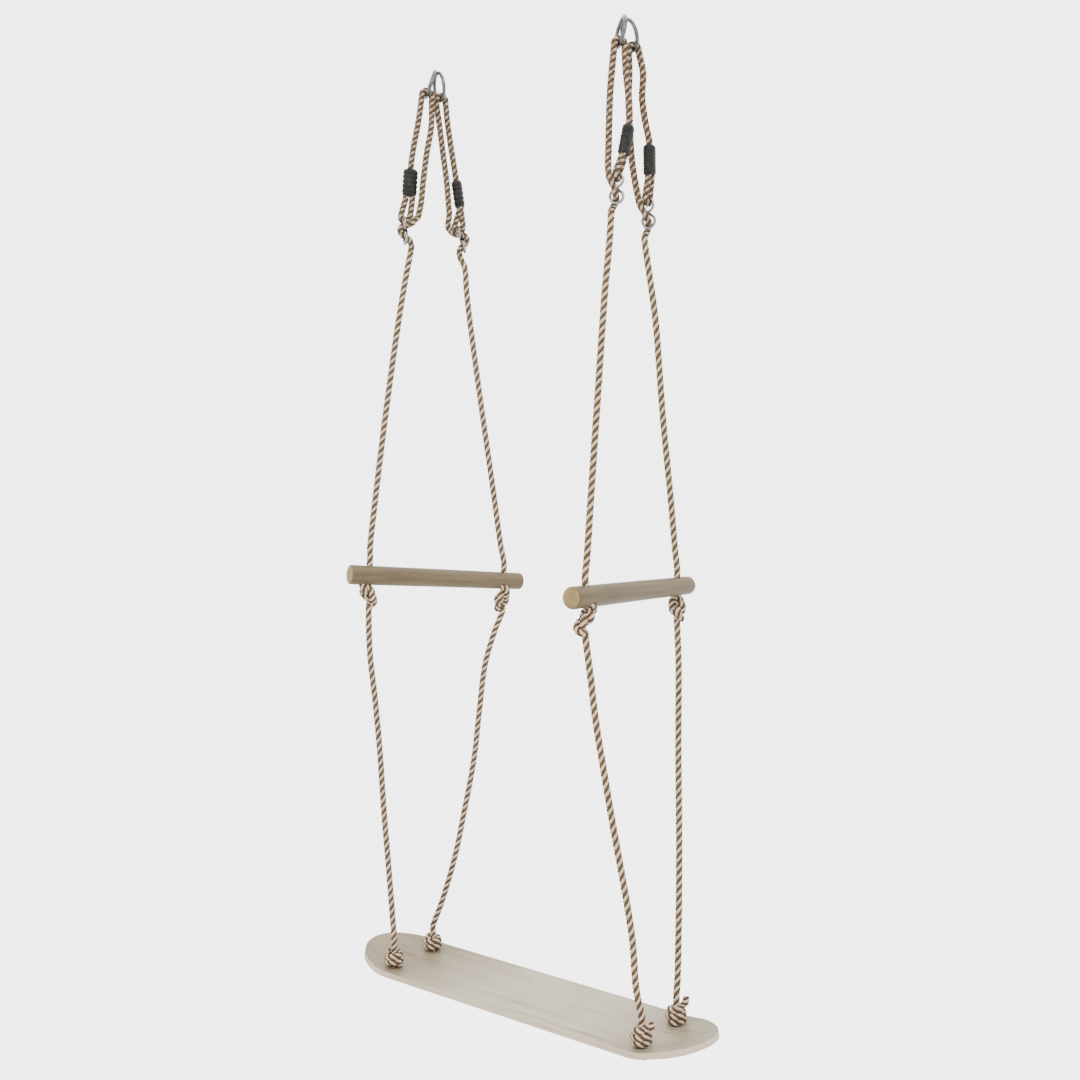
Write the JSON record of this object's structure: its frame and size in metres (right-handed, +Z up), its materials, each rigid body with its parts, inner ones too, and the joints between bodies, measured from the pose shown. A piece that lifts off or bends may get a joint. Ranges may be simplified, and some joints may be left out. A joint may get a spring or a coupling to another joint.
{
  "type": "stand-up board swing",
  "caption": "Stand-up board swing with a kicked plywood deck, laid ropes on rings, wire length adjusters and wooden grip bars.",
  "frame": {"origin": "on the line between the two hooks, at the height where the rings bear on them, above the middle of the deck", "axes": "+X along the deck to its right end, +Y across the deck away from the near side, +Z up"},
  "size_m": [0.7654, 0.355, 1.7128],
  "materials": {
    "birch_plywood": "weathered",
    "turned_wood": "matte",
    "laid_rope": "two-colour laid rope",
    "galvanised_steel": "galvanised",
    "bright_steel": "bright wire",
    "black_rubber": "matte"
  },
  "bodies": {
    "rings": {"ring_left_near": "galvanised_steel", "ring_left_far": "galvanised_steel", "ring_right_near": "galvanised_steel", "ring_right_far": "galvanised_steel"},
    "swing": {"rope_bight_left_near": "laid_rope", "rope_bight_left_far": "laid_rope", "rope_bight_right_near": "laid_rope", "rope_bight_right_far": "laid_rope"},
    "left_side": {"rope_leg_left_near": "laid_rope", "rope_leg_left_far": "laid_rope", "rope_upper_left_near": "laid_rope", "rope_upper_left_far": "laid_rope", "rope_eye_left_near": "laid_rope", "rope_eye_left_far": "laid_rope", "rope_lower_left_near": "laid_rope", "rope_lower_left_far": "laid_rope", "ferrule_left_near": "black_rubber", "ferrule_left_far": "black_rubber", "slider_left_near": "bright_steel", "slider_left_far": "bright_steel"},
    "right_side": {"rope_leg_right_near": "laid_rope", "rope_leg_right_far": "laid_rope", "rope_upper_right_near": "laid_rope", "rope_upper_right_far": "laid_rope", "rope_eye_right_near": "laid_rope", "rope_eye_right_far": "laid_rope", "rope_lower_right_near": "laid_rope", "rope_lower_right_far": "laid_rope", "ferrule_right_near": "black_rubber", "ferrule_right_far": "black_rubber", "slider_right_near": "bright_steel", "slider_right_far": "bright_steel"},
    "left_bar": {"grip_bar_left": "turned_wood", "knot_bar_left_near": "laid_rope", "knot_bar_left_far": "laid_rope"},
    "right_bar": {"grip_bar_right": "turned_wood", "knot_bar_right_near": "laid_rope", "knot_bar_right_far": "laid_rope"},
    "deck": {"deck": "birch_plywood", "knot_deck_left_near": "laid_rope", "knot_deck_left_far": "laid_rope", "knot_deck_right_near": "laid_rope", "knot_deck_right_far": "laid_rope", "rope_under_left": "laid_rope", "rope_under_right": "laid_rope"}
  },
  "joints": [
    {"name": "swing_fore_aft", "type": "hinge", "parent": "rings", "child": "swing", "pos_m": [0, 0, 0], "axis": [1, 0, 0], "range_deg": [-40, 40], "deforming": ["rope_bight_left_near", "rope_bight_left_far", "rope_bight_right_near", "rope_bight_right_far"]},
    {"name": "sway_left", "type": "hinge", "parent": "swing", "child": "left_side", "pos_m": [-0.2158, 0, -0.043], "axis": [0, 1, 0], "range_deg": [-12, 12], "deforming": ["rope_leg_left_near", "rope_leg_left_far", "rope_eye_left_near", "rope_eye_left_far"]},
    {"name": "sway_right", "type": "hinge", "parent": "swing", "child": "right_side", "pos_m": [0.2036, 0, -0.043], "axis": [0, 1, 0], "range_deg": [-12, 12], "deforming": ["rope_leg_right_near", "rope_leg_right_far", "rope_eye_right_near", "rope_eye_right_far"]},
    {"name": "bar_twist_left", "type": "hinge", "parent": "left_side", "child": "left_bar", "pos_m": [-0.2192, 0.0054, -0.939], "axis": [0, 0, 1], "range_deg": [-25, 25], "stiffness_Nm_per_rad": 0.1, "deforming": ["rope_upper_left_near", "rope_upper_left_far", "rope_lower_left_near", "rope_lower_left_far"]},
    {"name": "bar_twist_right", "type": "hinge", "parent": "right_side", "child": "right_bar", "pos_m": [0.2245, 0.003, -0.943], "axis": [0, 0, 1], "range_deg": [-25, 25], "stiffness_Nm_per_rad": 0.1, "deforming": ["rope_upper_right_near", "rope_upper_right_far", "rope_lower_right_near", "rope_lower_right_far"]},
    {"name": "deck_level", "type": "hinge", "parent": "left_side", "child": "deck", "pos_m": [-0.28, 0, -1.681], "axis": [0, 1, 0], "range_deg": [-10, 10]}
  ],
  "couplings": [
    {"joint": "sway_right", "follows": "sway_left", "ratio": 1},
    {"joint": "deck_level", "follows": "sway_left", "ratio": -0.749}
  ]
}
